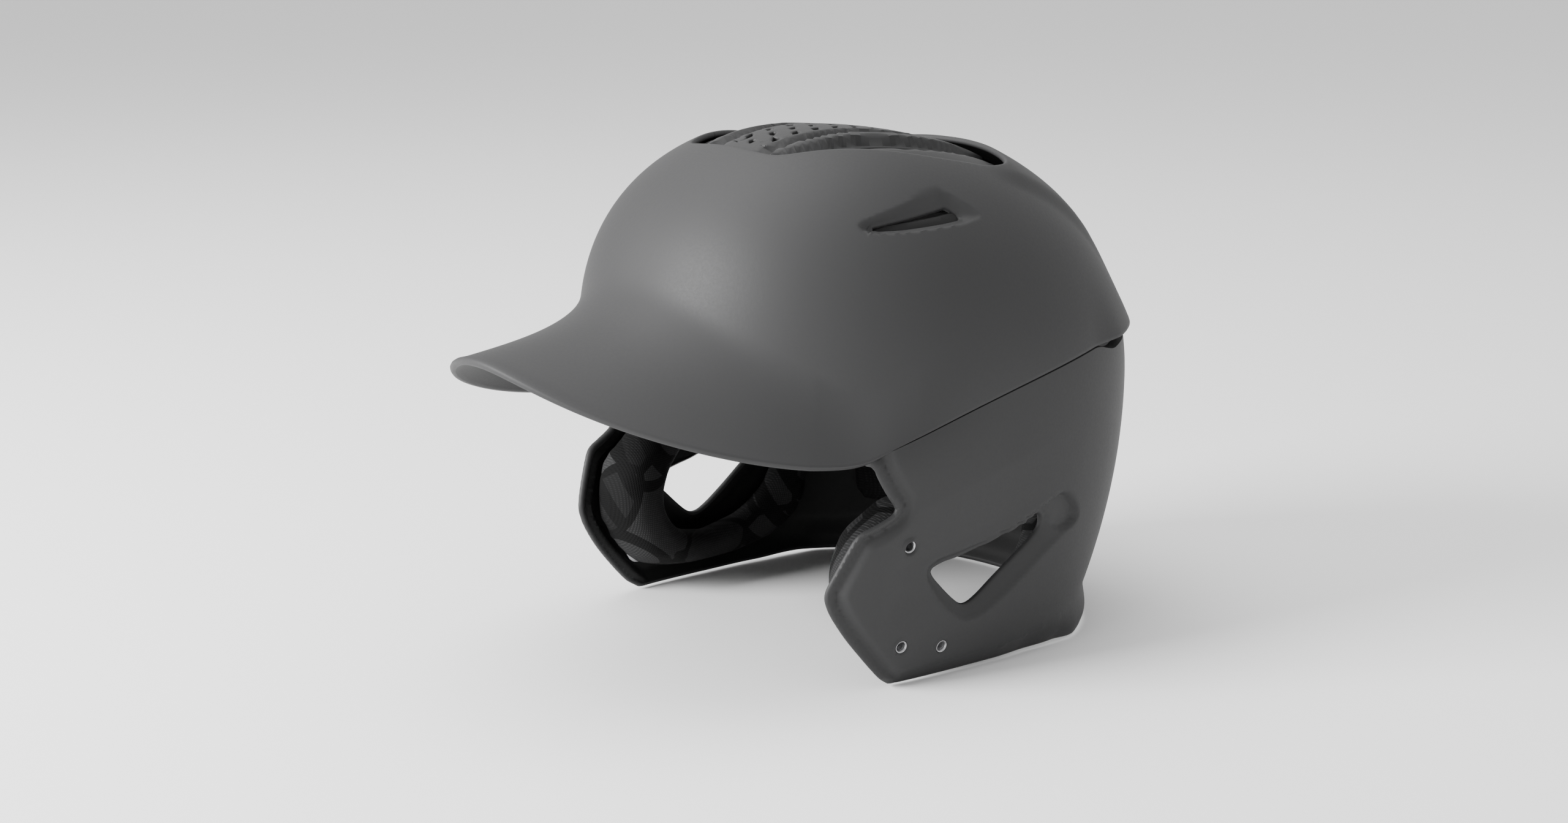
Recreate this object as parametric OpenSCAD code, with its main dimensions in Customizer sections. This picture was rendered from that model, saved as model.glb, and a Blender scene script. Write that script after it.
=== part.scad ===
// Batting helmet: a two-piece moulded shell with a brim and two ear flaps, a padded
// liner and threaded inserts for a face guard.
// +Z is up, the brim points to -Y and the wearer's left side is +X. It stands on z = 0.
// Outlines are given in a side view as [distance behind the crown's centre, height].

/* [Crown] */
// Width of the shell at its widest line
crown_w = 200; // [190:1:210]
// From the crown's centre forward to the brow
front_l = 112; // [106:1:118]
// From the crown's centre back to the rear
rear_l = 119; // [113:1:125]
// Height of the widest line
crown_z = 112; // [108:1:116]
// Height of the dome above the widest line
crown_h = 98; // [92:1:104]
// Rise of the crown's widest line for each millimetre forward
tilt = 0.115; // [0.09:0.005:0.13]
// Squareness of the crown seen from above
round_n = 2.25; // [2:0.05:2.5]
// Squareness of the temples, below the widest line
temple_n = 3.6; // [3:0.1:4]
// Squareness of the dome seen from the side
dome_n = 2.2; // [2:0.05:2.4]
// Share by which the sides close in at the bottom
side_taper = 0.11; // [0.08:0.01:0.14]
// Share by which the nape closes in at the bottom
nape_taper = 0.30; // [0.24:0.01:0.34]

/* [Brim] */
// From the crown's centre forward to the brim's tip
brim_reach = 182; // [174:1:190]
// Height of the brim's tip
tip_z = 132; // [128:1:136]
// From the crown's centre forward to the brim's side ends
brim_end = 69; // [67:1:71]
// Level on the crown where the brim springs out
brow_level = 127; // [124:1:129]

/* [Shell walls] */
// Thickness of the moulded walls
wall = 2.6; // [2.2:0.1:3]
// Depth of the step that the upper shell laps over
lap = 3.4; // [3.2:0.1:3.8]
// Depth of the inner crown below the outer skin
crown_gap = 6.5; // [5.5:0.5:7.5]
// How far the rear lip stands proud
lip_step = 4; // [3:0.5:5]
// Height of the vent gap under the rear lip
rear_vent = 5; // [3:0.5:6]
// How far the nape's bottom edge flares out
nape_flare = 5; // [3:0.5:6]

/* [Padding] */
// Thickness of the ear pads
ear_pad_t = 24; // [16:1:26]
// Thickness of the liner pads
liner_t = 12; // [10:1:14]
// Thickness of the fabric covers
cover_t = 0.8; // [0.6:0.1:1]
// Thickness of the hook-and-loop patches
tab_t = 1.2; // [1:0.1:1.4]

/* [Fasteners] */
// Bore radius of the face-guard inserts
insert_r = 1.75; // [1.6:0.05:1.9]
// Barrel radius of the face-guard inserts
barrel_r = 3.1; // [2.8:0.1:3.4]
// Flange radius of the face-guard inserts
flange_r = 6.5; // [5.5:0.5:7]
// Length of the face-guard inserts
insert_l = 4.6; // [4.4:0.1:5]
// Shank radius of the shell screws
screw_r = 1.5; // [1.3:0.1:1.7]

/* [Hidden] */

play = 0.15;            // clearance round a fastener
seam_gap = 0.4;         // open joint between the two shells
under = 8;              // how far cutters and raw skins run past the ground
far = 260;              // reach of a cutter outside the helmet
flange_t = 1;
shoulder_play = 0.4;    // extra room under the upper shell's lap
brim_round = 0.3;       // how softly the brim's edge bends down at its middle

seam_mid = 113.5;       // height, slope and bow of the line between the two shells
seam_slope = 0.23;
seam_bow = 0.0012;

vent_start = 118;       // azimuth at which the rear vent opens, and over how many degrees
vent_fade = 12;

face_edge = [[-far, -under], [-far, 170], [-125, 141], [-97, 119], [-68, 94.5],
    [-65.5, 87.5], [-61, 80], [-57.5, 75.5], [-57.5, 73], [-60, 71.2], [-66, 68.5],
    [-71.5, 66.5], [-74.5, 63.5], [-82.5, 46], [-83.5, 41], [-81, 34], [-74, 23],
    [-64, 11], [-57, 3.5], [-51, 0], [-49, -under]];
ear_hole_corners = [[-34.5, 43.5, 4], [17.5, 54.8, 4.5], [-17.5, 32, 5]];
side_vent = [[-50.5, 177.2], [-50.5, 178.2], [-13, 183.4], [-10, 180], [-11.5, 178.4]];
top_vent = [[0, -64], [14, -64], [26, -62], [31, -57], [36, -48], [41.5, -36], [46.5, -23],
    [51, -9], [53.5, 8], [53.5, 28], [50, 38], [40, 46], [20, 51], [0, 52]];
guard_holes = [[-50, 58], [-49.5, 17], [-29.5, 13.5]];
screw_seats = [[50, 128], [122, 142], [24, 168]];   // azimuth and level, one side

ear_mid = [-16, 41];     // centre and reach of the ear pad's outline
ear_reach = [60, 34];
ear_hole_mid = [-10, 43]; // and of the ear hole through it, which is tilted
ear_hole_reach = [37, 21.5];
ear_hole_tilt = 12;

charcoal = [0.27, 0.27, 0.28];
black = [0.09, 0.09, 0.1];
foam_grey = [0.3, 0.3, 0.32];
steel = [0.72, 0.72, 0.7];

edge_drop = tip_z - seam_z(-brim_end);
edge_x = side_x(-brim_end, seam_z(-brim_end));
lip_level = shoulder_level(180);
rear_reach = max(rear_l, surface_r(180, lip_level) + lip_step);
crown_y = (brim_reach - rear_reach) / 2;   // centres the helmet between brim and rear

// ---- the outer surface ----

function clamp(x, low, high) = max(low, min(high, x));
function ease(t) = let (u = clamp(t, 0, 1)) u * u * (3 - 2 * u);
function mix(a, b, t) = a + (b - a) * t;

// 0 at the widest line, 1 at the ground
function depth(level) = clamp((crown_z - level) / crown_z, 0, 1.2);
function half_w(level) = crown_w / 2 * (1 - side_taper * pow(depth(level), 2));
function half_l(level, rear) = rear ? rear_l * (1 - nape_taper * pow(depth(level), 2))
    : front_l * (1 - 0.02 * pow(depth(level), 2));
function square_n(level, rear) = rear ? round_n
    : mix(round_n, temple_n, ease(depth(level) / 0.3));
function dome(level) = level <= crown_z ? 1
    : pow(1 - pow(min((level - crown_z) / crown_h, 1), dome_n), 1 / dome_n);

// Radius of the surface at an azimuth (0 is the front) and a level on the tilted axis
function surface_r(az, level) = let (
        rear = cos(az) < 0, n = square_n(level, rear),
        w = abs(sin(az)) / half_w(level), l = abs(cos(az)) / half_l(level, rear))
    dome(level) * pow(pow(w, n) + pow(l, n), -1 / n);
function place(az, r, level) = [r * sin(az), -r * cos(az), level + tilt * r * cos(az)];

// Half width of the surface at a point of the side view
function side_x(y, z) = let (level = z + tilt * y, rear = y > 0, n = square_n(level, rear))
    half_w(level) * pow(1 - pow(min(abs(y) / half_l(level, rear), 1), n), 1 / n);
function side_normal(y, z) = let (
        v = [1, side_x(y - 1, z) / 2 - side_x(y + 1, z) / 2,
            side_x(y, z - 1) / 2 - side_x(y, z + 1) / 2])
    v / norm(v);
function side_pt(y, z, inset) = [side_x(y, z), y, z] - inset * side_normal(y, z);

// A point set in from the surface by a distance, in the plane through the tilted axis
function inset_pt(az, level, inset, flare = 0) = let (
        step = 0.05,
        slope = (surface_r(az, level + step) - surface_r(az, level - step)) / (2 * step),
        len = sqrt(1 + slope * slope))
    place(az, surface_r(az, level) + flare - inset / len, level + inset * slope / len);

// Levels as angles, so that rows of points stay evenly spaced over the dome
function level_of(psi) = crown_z + (psi > 0 ? crown_h : crown_z) * sin(psi);
function angle_of(level) = asin(clamp((level - crown_z)
    / (level > crown_z ? crown_h : crown_z), -1, 1));

// ---- the line between the shells ----

function seam_z(y) = seam_mid + seam_slope * y - seam_bow * y * y;
function shoulder_level(az) = let (y = -surface_r(az, crown_z) * cos(az))
    seam_z(y) + tilt * y;
function vent_share(az) = ease((abs(az) - vent_start) / vent_fade);

// ---- closed skins ----

// A ball-like solid from rings of points, closed by a fan at each end
function ring_mean(ring) = [for (k = [0 : 2]) [for (p = ring) p[k]] * [for (p = ring) 1]
    / len(ring)];
module skin(rings) {
    n = len(rings[0]);
    m = len(rings);
    points = concat([for (ring = rings) for (p = ring) p],
        [ring_mean(rings[0]), ring_mean(rings[m - 1])]);
    faces = concat(
        [for (i = [0 : n - 1]) [m * n, i, (i + 1) % n]],
        [for (j = [0 : m - 2]) for (i = [0 : n - 1])
            [j * n + i, (j + 1) * n + i, j * n + (i + 1) % n]],
        [for (j = [0 : m - 2]) for (i = [0 : n - 1])
            [j * n + (i + 1) % n, (j + 1) * n + i, (j + 1) * n + (i + 1) % n]],
        [for (i = [0 : n - 1]) [m * n + 1, (m - 1) * n + (i + 1) % n, (m - 1) * n + i]]);
    polyhedron(points, faces);
}

// A ring-like solid from closed sections of points
module loop_skin(sections) {
    n = len(sections[0]);
    m = len(sections);
    faces = [for (j = [0 : m - 1]) for (i = [0 : n - 1]) for (half = [0, 1])
        half == 0
            ? [j * n + i, ((j + 1) % m) * n + i, j * n + (i + 1) % n]
            : [j * n + (i + 1) % n, ((j + 1) % m) * n + i, ((j + 1) % m) * n + (i + 1) % n]];
    polyhedron([for (s = sections) for (p = s) p], faces);
}

// Joins what is inside into one welded skin
module welded() resize([0, 0, 0]) children();

// ---- cutters ----

module side_prism(x_low, x_high)
    rotate([90, 0, 90]) translate([0, 0, x_low]) linear_extrude(x_high - x_low) children();
module both_sides() {
    children();
    mirror([1, 0, 0]) children();
}
module ear_hole_outline()
    hull() for (c = ear_hole_corners) translate([c[0], c[1]]) circle(c[2], $fn = 20);
module top_vent_outline() {
    polygon(concat(top_vent,
        [for (i = [len(top_vent) - 2 : -1 : 1]) [-top_vent[i][0], top_vent[i][1]]]));
}

// Turns local +Z along the surface's outward normal at a point of the left side
module on_side(y, z) {
    out = side_normal(y, z);
    translate([side_x(y, z), y, z]) rotate([0, acos(out[2]), atan2(out[1], out[0])])
        children();
}
module on_crown(az, level) {
    p = inset_pt(az, level, 0);
    out = p - inset_pt(az, level, 1);
    translate(p) rotate([0, acos(out[2] / norm(out)), atan2(out[1], out[0])]) children();
}

// ---- upper shell: crown, brim and rear lip ----

brim_cols = 9;
side_cols = 18;
dome_rows = 8;
brim_rows = 7;

// Each column holds its azimuth, its edge's radius and level, and 0 at the brim's middle
// rising to 1 where the brim ends
function brim_column(u) = let (
        h = sin(90 * u), x = edge_x * h,
        y = -brim_end - (brim_reach - brim_end) * pow(cos(90 * u), 4 / 3),
        bend = (sqrt(h * h + brim_round * brim_round) - brim_round)
            / (sqrt(1 + brim_round * brim_round) - brim_round),
        z = tip_z - edge_drop * bend)
    [atan2(x, -y), norm([x, y]), z + tilt * y, ease(abs(u))];
function seam_column(az) = let (level = shoulder_level(az))
    [az, surface_r(az, level) + lip_step * vent_share(az > 180 ? 360 - az : az), level, 1];
function upper_columns() = let (end_az = brim_column(1)[0],
        step = (360 - 2 * end_az) / (2 * side_cols))
    concat([for (i = [-brim_cols : brim_cols]) brim_column(i / brim_cols)],
        [for (i = [1 : 2 * side_cols - 1]) seam_column(end_az + i * step)]);

// Radius and level on a column: 0 to 1 runs down the dome, 1 to 2 down to the edge
function upper_line(col, v) = let (
        az = col[0], side = col[3], edge = [col[1], col[2]],
        bend_level = mix(brow_level, edge[1] + 15, side),
        start_level = bend_level + mix(22, 15, side),
        start = [surface_r(az, start_level), start_level],
        slope = surface_r(az, start_level + 0.5) - surface_r(az, start_level - 0.5),
        bend = [start[0] + slope * (bend_level - start_level), bend_level],
        q = mix(2.6, 2, side), w = v - 1,
        psi = mix(88, angle_of(start_level), v))
    v <= 1 ? [surface_r(az, level_of(psi)), level_of(psi)]
        : start + (bend - start) * (1 - pow(1 - w, q)) + (edge - bend) * pow(w, q);
function upper_pt(col, v, inset) = let (
        step = 0.02, p = upper_line(col, v),
        along = upper_line(col, min(v + step, 2)) - upper_line(col, max(v - step, 0)),
        out = [-along[1], along[0]] / norm(along))
    place(col[0], p[0] - inset * out[0], p[1] - inset * out[1]);
function upper_rings() = let (cols = upper_columns(),
        rows = concat([for (j = [0 : dome_rows]) j / dome_rows],
            [for (j = [1 : brim_rows]) 1 + j / brim_rows]))
    concat([for (v = rows) [for (c = cols) upper_pt(c, v, wall)]],
        [for (j = [len(rows) - 1 : -1 : 0]) [for (c = cols) upper_pt(c, rows[j], 0)]]);

module screw_bosses()
    for (s = screw_seats) on_crown(s[0], s[1])
        translate([0, 0, -crown_gap + play]) cylinder(crown_gap - 1, r = 3.4, $fn = 24);
module screw_holes()
    for (s = screw_seats) on_crown(s[0], s[1])
        translate([0, 0, -crown_gap - wall - 2]) cylinder(crown_gap + wall, r = screw_r + play,
            $fn = 16);
module upper_shell() {
    color(charcoal) translate([0, crown_y, 0]) welded() difference() {
        union() {
            skin(upper_rings());
            both_sides() screw_bosses();
        }
        translate([0, 0, 150]) linear_extrude(100) top_vent_outline();
        both_sides() side_prism(40, 120) polygon(side_vent);
        both_sides() screw_holes();
    }
}

// ---- lower shell: inner crown, ear flaps and nape ----

lower_cols = 60;
flap_rows = 7;
crown_rows = 7;

function nape_lip(az, z) = nape_flare * ease((17 - z) / 13) * ease((abs(az) - 100) / 18);
function low_level(az) = let (r = surface_r(az, 0)) -under - tilt * r * cos(az);
function high_level(az) = shoulder_level(az) - rear_vent * vent_share(az) - seam_gap;

// Rows 0 to 1 run up the flap, 1 to 2 up the inner crown; drop keeps the step's wall thick
function lower_pt(az, v, inset, drop) = let (
        top = high_level(az) - drop,
        level = v <= 1 ? mix(low_level(az), top, v)
            : level_of(mix(angle_of(top + 0.8), 88, v - 1)),
        sink = v <= 1 ? 0 : mix(lap + shoulder_play, crown_gap, ease((level - top) / 14)),
        z = level + tilt * surface_r(az, level) * cos(az))
    inset_pt(az, level, inset + sink, v <= 1 ? nape_lip(az, z) : 0);
function lower_rings() = let (
        azimuths = [for (i = [0 : lower_cols - 1]) i * 360 / lower_cols - 180],
        rows = concat([for (j = [0 : flap_rows]) j / flap_rows],
            [for (j = [0 : crown_rows]) 1.0001 + 0.9999 * j / crown_rows]))
    concat(
        [for (j = [len(rows) - 1 : -1 : 0])
            [for (a = azimuths) lower_pt(a, rows[j], wall, wall)]],
        [for (v = rows) [for (a = azimuths) lower_pt(a, v, 0, 0)]]);

// Staggered air holes along the middle of the inner crown
module spine_holes()
    for (row = [0 : 8]) for (side = [-1, 0, 1])
        translate([side * 7.5, -46 + row * 10 + (side == 0 ? 5 : 0), 150])
            linear_extrude(100) polygon([[-1.8, -2.2], [2.6, -1], [1.8, 2.2], [-2.6, 1]]);
// Long air slots beside the spine
module groove_slots()
    both_sides() for (y = [-38, -6, 26])
        translate([24, y, 150]) linear_extrude(100) hull() for (dy = [-8, 8])
            translate([0, dy]) circle(2, $fn = 16);

module lower_shell() {
    color(charcoal) translate([0, crown_y, 0]) welded() difference() {
        skin(lower_rings());
        translate([-far, -far, -far]) cube([2 * far, 2 * far, far]);
        side_prism(-120, 120) polygon(face_edge);
        both_sides() side_prism(40, 120) ear_hole_outline();
        both_sides() for (h = guard_holes) on_side(h[0], h[1])
            translate([0, 0, -8]) cylinder(12, r = barrel_r + play, $fn = 24);
        both_sides() side_prism(40, 120) polygon(side_vent);
        both_sides() screw_holes();
        spine_holes();
        groove_slots();
    }
}

// ---- fasteners ----

// A T-shaped threaded insert: barrel through the wall, flange against its inner face
module guard_insert() {
    difference() {
        union() {
            translate([0, 0, 0.1 - insert_l]) cylinder(insert_l, r = barrel_r, $fn = 48);
            translate([0, 0, -wall - flange_t - 0.3]) cylinder(flange_t, r = flange_r,
                $fn = 48);
        }
        translate([0, 0, -insert_l - 1]) cylinder(insert_l + 3, r = insert_r, $fn = 48);
    }
}
module side_inserts()
    for (h = guard_holes) on_side(h[0], h[1]) guard_insert();
module left_guard_inserts()
    color(steel) translate([0, crown_y, 0]) side_inserts();
module right_guard_inserts()
    color(steel) translate([0, crown_y, 0]) mirror([1, 0, 0]) side_inserts();

// Pan-head screws, driven outwards from inside the inner crown into the upper shell
module shell_screw() {
    head_z = -crown_gap - wall - 0.5;
    translate([0, 0, head_z]) cylinder(crown_gap + wall - 2, r = screw_r, $fn = 32);
    translate([0, 0, head_z - 1.6]) difference() {
        cylinder(1.6, r = 3, $fn = 32);
        for (turn = [0, 90]) rotate(turn) translate([-1.8, -0.4, -0.1]) cube([3.6, 0.8, 0.9]);
    }
}
module shell_screws()
    color(steel) translate([0, crown_y, 0]) both_sides()
        for (s = screw_seats) on_crown(s[0], s[1]) shell_screw();

// ---- liner pads ----

pad_cols = 24;

// Unit outline of a rounded rectangle
function squircle(t) = let (c = cos(t), s = sin(t))
    [sign(c) * sqrt(abs(c)), sign(s) * sqrt(abs(s))];
// Share of the outline and of the thickness, from the back's middle over the rim to the
// front's middle
pad_rows = [[0.4, 0], [0.75, 0], [0.95, 0.03], [1, 0.15], [1, 0.45], [0.96, 0.7],
    [0.86, 0.9], [0.65, 0.98], [0.3, 1]];

// A pad on the dome's wall: middle and half size as azimuth and level, and the depth of its
// back below the outer skin
function wall_pad(mid, half, back, thick, grow, rows = pad_rows, cols = pad_cols) = let (
        g = [grow / 1.7, grow])
    [for (row = rows) [for (i = [0 : cols - 1])
        let (q = squircle(-360 * i / cols), p = [mid[0] + (half[0] + g[0]) * row[0] * q[0],
            mid[1] + (half[1] + g[1]) * row[0] * q[1]])
        inset_pt(p[0], p[1], back - grow + (thick + 2 * grow) * row[1])]];

// Height of the dome over a point seen from above, at a depth below the outer skin
function top_z(x, y, inset) = let (
        w = crown_w / 2 - inset, l = (y > 0 ? rear_l : front_l) - inset, h = crown_h - inset,
        out = pow(pow(abs(x) / w, round_n) + pow(abs(y) / l, round_n), dome_n / round_n))
    crown_z + h * pow(max(1 - out, 0), 1 / dome_n) - tilt * y;
function top_pad(mid, half, back, thick) =
    [for (row = pad_rows) [for (i = [0 : pad_cols - 1])
        let (q = squircle(-360 * i / pad_cols), x = mid[0] + half[0] * row[0] * q[0],
            y = mid[1] + half[1] * row[0] * q[1])
        [x, y, top_z(x, y, back + thick * row[1])]]];

// A fabric cover: up the inside of its front, round the rim and back over the outside,
// open behind
function cover_of(outer, inner) = concat(
    [for (j = [len(inner) - 1 : -1 : 1]) inner[j]],
    [for (j = [1 : len(outer) - 1]) outer[j]]);

room = 0.1;
flap_back = wall + tab_t + 0.6;
crown_back = crown_gap + wall + tab_t + 0.8;
brow = [[0, 141], [40, 11]];
rear = [[180, 92], [33, 17]];
temple = [[88, 143], [25, 14]];
nape = [[146, 42], [15, 14]];
crown_pad_place = [[38, 2], [13, 46]];

function brow_rings(grow) = wall_pad(brow[0], brow[1], crown_back, liner_t, grow);
function rear_rings(grow) = wall_pad(rear[0], rear[1], flap_back + cover_t, liner_t, grow);
module brow_pad_foam()
    color(foam_grey) translate([0, crown_y, 0]) skin(brow_rings(0));
module brow_pad_cover()
    color(black) translate([0, crown_y, 0])
        skin(cover_of(brow_rings(cover_t), brow_rings(room)));
module rear_pad_foam()
    color(foam_grey) translate([0, crown_y, 0]) skin(rear_rings(0));
module rear_pad_cover()
    color(black) translate([0, crown_y, 0])
        skin(cover_of(rear_rings(cover_t), rear_rings(room)));
module left_side_pad()
    color(black) translate([0, crown_y, 0])
        skin(wall_pad(temple[0], temple[1], crown_back, liner_t, 0));
module right_side_pad() mirror([1, 0, 0]) left_side_pad();
module left_crown_pad()
    color(black) translate([0, crown_y, 0])
        skin(top_pad(crown_pad_place[0], crown_pad_place[1], crown_back, liner_t));
module right_crown_pad() mirror([1, 0, 0]) left_crown_pad();
module left_nape_pad()
    color(black) translate([0, crown_y, 0])
        skin(wall_pad(nape[0], nape[1], flap_back, liner_t - 2, 0));
module right_nape_pad() mirror([1, 0, 0]) left_nape_pad();

// Hook-and-loop patches behind the liner pads
tab_rows = [[0.6, 0], [1, 0.2], [1, 0.8], [0.6, 1]];
tab_cols = 12;
module wall_tab(mid, back)
    skin(wall_pad(mid, [6, 7], back - tab_t - 0.2, tab_t, 0, tab_rows, tab_cols));
module liner_tabs()
    color(black) translate([0, crown_y, 0]) both_sides() {
        wall_tab([22, brow[0][1]], crown_back);
        wall_tab(temple[0], crown_back);
        wall_tab([163, rear[0][1]], flap_back);
        wall_tab(nape[0], flap_back);
    }

// ---- ear pads ----

ear_cols = 32;
// Share of the way from the ear hole to the outer edge, and share of the thickness
ear_rows = [[0, 0.1], [0.06, 0], [0.5, 0], [0.94, 0], [1, 0.1], [1, 0.5], [0.94, 0.8],
    [0.75, 0.98], [0.5, 1], [0.25, 0.98], [0.06, 0.8], [0, 0.5]];

function ear_outer(t, grow) = [
    ear_mid[0] + (ear_reach[0] + grow) * sign(cos(t)) * pow(abs(cos(t)), 0.8),
    ear_mid[1] + (ear_reach[1] + grow) * sign(sin(t)) * pow(abs(sin(t)), 0.8)];
function ear_inner(t, grow) = let (c = (ear_hole_reach[0] - grow) * cos(t),
        s = (ear_hole_reach[1] - grow) * sin(t))
    [ear_hole_mid[0] + c * cos(ear_hole_tilt) - s * sin(ear_hole_tilt),
        ear_hole_mid[1] + c * sin(ear_hole_tilt) + s * cos(ear_hole_tilt)];
// The pad is full at the cheek and thinner round the ear
function ear_depth(y) = ear_pad_t * mix(0.62, 1, ease((-10 - y) / 45));
function ear_sections(grow) = [for (i = [0 : ear_cols - 1])
    let (t = 360 * i / ear_cols, low = ear_inner(t, grow), high = ear_outer(t, grow))
    [for (row = ear_rows) let (p = mix(low, high, row[0]))
        side_pt(p[0], p[1], flap_back + cover_t - grow + (ear_depth(p[0]) + 2 * grow) * row[1])]];
module ear_foam() loop_skin(ear_sections(0));
// Rows of a section that its cover runs over, from the outer edge round to the ear hole
covered = [3, 4, 5, 6, 7, 8, 9, 10, 11, 0, 1];
module ear_cover() {
    outer = ear_sections(cover_t);
    inner = ear_sections(room);
    loop_skin([for (i = [0 : ear_cols - 1]) concat([for (k = covered) outer[i][k]],
        [for (j = [len(covered) - 1 : -1 : 0]) inner[i][covered[j]]])]);
}
module left_ear_pad_foam() color(foam_grey) translate([0, crown_y, 0]) ear_foam();
module left_ear_pad_cover() color(black) translate([0, crown_y, 0]) ear_cover();
module right_ear_pad_foam() mirror([1, 0, 0]) left_ear_pad_foam();
module right_ear_pad_cover() mirror([1, 0, 0]) left_ear_pad_cover();

// Hook-and-loop patches behind the ear pad
ear_tabs = [[-62, 38], [35, 32], [-8, 70]];
function ear_tab_rings(mid) = [for (row = tab_rows) [for (i = [0 : tab_cols - 1])
    let (q = squircle(-360 * i / tab_cols), y = mid[0] + 5 * row[0] * q[0],
        z = mid[1] + 4 * row[0] * q[1])
    side_pt(y, z, wall + 0.3 + tab_t * row[1])]];
module left_ear_pad_tabs()
    color(black) translate([0, crown_y, 0]) for (t = ear_tabs) skin(ear_tab_rings(t));
module right_ear_pad_tabs() mirror([1, 0, 0]) left_ear_pad_tabs();

upper_shell();
lower_shell();
left_guard_inserts();
right_guard_inserts();
shell_screws();
left_ear_pad_foam();
left_ear_pad_cover();
right_ear_pad_foam();
right_ear_pad_cover();
left_ear_pad_tabs();
right_ear_pad_tabs();
brow_pad_foam();
brow_pad_cover();
left_side_pad();
right_side_pad();
left_crown_pad();
right_crown_pad();
rear_pad_foam();
rear_pad_cover();
left_nape_pad();
right_nape_pad();
liner_tabs();
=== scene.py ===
"""Batting helmet: moulded shells, padded liner and face-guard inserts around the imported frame.

Lengths are in millimetres until a mesh is made, and the crown's own frame has its centre at
y = 0; make_mesh turns points into metres in the frame of the CAD.
"""
import math

import bpy
import numpy as np
from mathutils import Matrix, Vector


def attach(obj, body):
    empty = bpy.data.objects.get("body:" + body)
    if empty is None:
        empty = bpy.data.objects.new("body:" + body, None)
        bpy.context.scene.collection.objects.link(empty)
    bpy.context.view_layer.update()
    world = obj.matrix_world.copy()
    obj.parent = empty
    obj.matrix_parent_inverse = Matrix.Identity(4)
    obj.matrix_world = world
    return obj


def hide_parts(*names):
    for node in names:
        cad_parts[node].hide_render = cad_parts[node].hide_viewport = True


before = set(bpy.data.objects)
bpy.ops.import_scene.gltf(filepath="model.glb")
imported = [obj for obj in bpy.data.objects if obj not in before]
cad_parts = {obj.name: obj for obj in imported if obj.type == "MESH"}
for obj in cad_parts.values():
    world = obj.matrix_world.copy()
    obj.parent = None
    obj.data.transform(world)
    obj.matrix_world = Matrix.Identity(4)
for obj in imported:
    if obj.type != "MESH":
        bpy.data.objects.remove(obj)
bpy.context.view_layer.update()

MM = 0.001

# ---- driving dimensions, as in the CAD ----
CROWN_W, FRONT_L, REAR_L = 200.0, 112.0, 119.0
CROWN_Z, CROWN_H, TILT = 112.0, 98.0, 0.115
ROUND_N, TEMPLE_N, DOME_N = 2.25, 3.6, 2.2
SIDE_TAPER, NAPE_TAPER, FRONT_TAPER = 0.11, 0.30, 0.02
BRIM_REACH, TIP_Z, BRIM_END, BROW_LEVEL, BRIM_ROUND = 182.0, 132.0, 69.0, 127.0, 0.3
WALL, LAP, CROWN_GAP = 2.6, 3.8, 6.5
LIP_STEP, REAR_VENT, NAPE_FLARE = 4.0, 5.0, 5.0
SEAM_MID, SEAM_SLOPE, SEAM_BOW, SEAM_GAP = 113.5, 0.23, 0.0012, 0.15
VENT_START, VENT_FADE = 118.0, 12.0
EAR_PAD_T, LINER_T = 24.0, 12.0
FLAP_BACK = WALL + 1.8                   # depth of the pads' backs below the outer surface
CROWN_BACK = CROWN_GAP + WALL + 2.0

# Outlines in the side view as (distance behind the crown's centre, height)
FACE_EDGE = [(-300, -60), (-300, 170), (-125, 141), (-97, 119), (-68, 94.5), (-65.5, 87.5),
             (-61, 80), (-57.5, 75.5), (-57.5, 73), (-60, 71.2), (-66, 68.5), (-71.5, 66.5),
             (-74.5, 63.5), (-82.5, 46), (-83.5, 41), (-81, 34), (-74, 23), (-64, 11),
             (-57, 3.5), (-51, -1), (-49, -60)]
EAR_HOLE = [(-39, 44.5), (-36.5, 48), (-20, 51), (5, 56.5), (17, 60.3), (21.5, 59.5),
            (23.5, 55), (21, 50.5), (5, 39.5), (-13, 27.8), (-19.5, 27.3), (-27, 33)]
EAR_BEVEL = [(-42, 44), (-38.5, 50), (-20, 51.8), (5, 57.3), (14, 61), (29, 67), (35, 66),
             (43, 57), (42.5, 52), (29, 47), (4, 30), (-12, 21.5), (-21, 22), (-32, 31)]
EAR_POCKET = [(14, 61), (29, 67), (35, 66), (43, 57), (42.5, 52), (34, 49), (24, 52)]
SIDE_VENT = [(-51, 176.6), (-50.5, 178.4), (-15, 183.6), (-12.5, 183), (-9.5, 180),
             (-11, 178.6)]
SIDE_BEVEL = [(-57, 177.2), (-53, 179.8), (-19, 188.2), (-13, 188.4), (0, 178.8),
              (-3, 176.6), (-48, 174.8)]
# The crown's opening seen from above, one half
TOP_VENT = [(0, -64), (14, -64), (26, -62), (31, -57), (36, -48), (41.5, -36), (46.5, -23),
            (51, -9), (53.5, 8), (53.5, 28), (50, 38), (40, 46), (20, 51), (0, 52)]
GUARD_HOLES = [(-50, 58), (-49.5, 17), (-29.5, 13.5)]


def ease(t):
    t = np.clip(t, 0, 1)
    return t * t * (3 - 2 * t)


def mix(a, b, t):
    return a + (b - a) * t


def cosd(a):
    return np.cos(np.radians(a))


def sind(a):
    return np.sin(np.radians(a))


# ---- the outer surface, by the same rules as the CAD ----
def depth(level):
    return np.clip((CROWN_Z - level) / CROWN_Z, 0, 1.2)


def half_w(level):
    return CROWN_W / 2 * (1 - SIDE_TAPER * depth(level) ** 2)


def half_l(level, rear):
    return np.where(rear, REAR_L * (1 - NAPE_TAPER * depth(level) ** 2),
                    FRONT_L * (1 - FRONT_TAPER * depth(level) ** 2))


def square_n(level, rear):
    return np.where(rear, ROUND_N, mix(ROUND_N, TEMPLE_N, ease(depth(level) / 0.3)))


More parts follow.
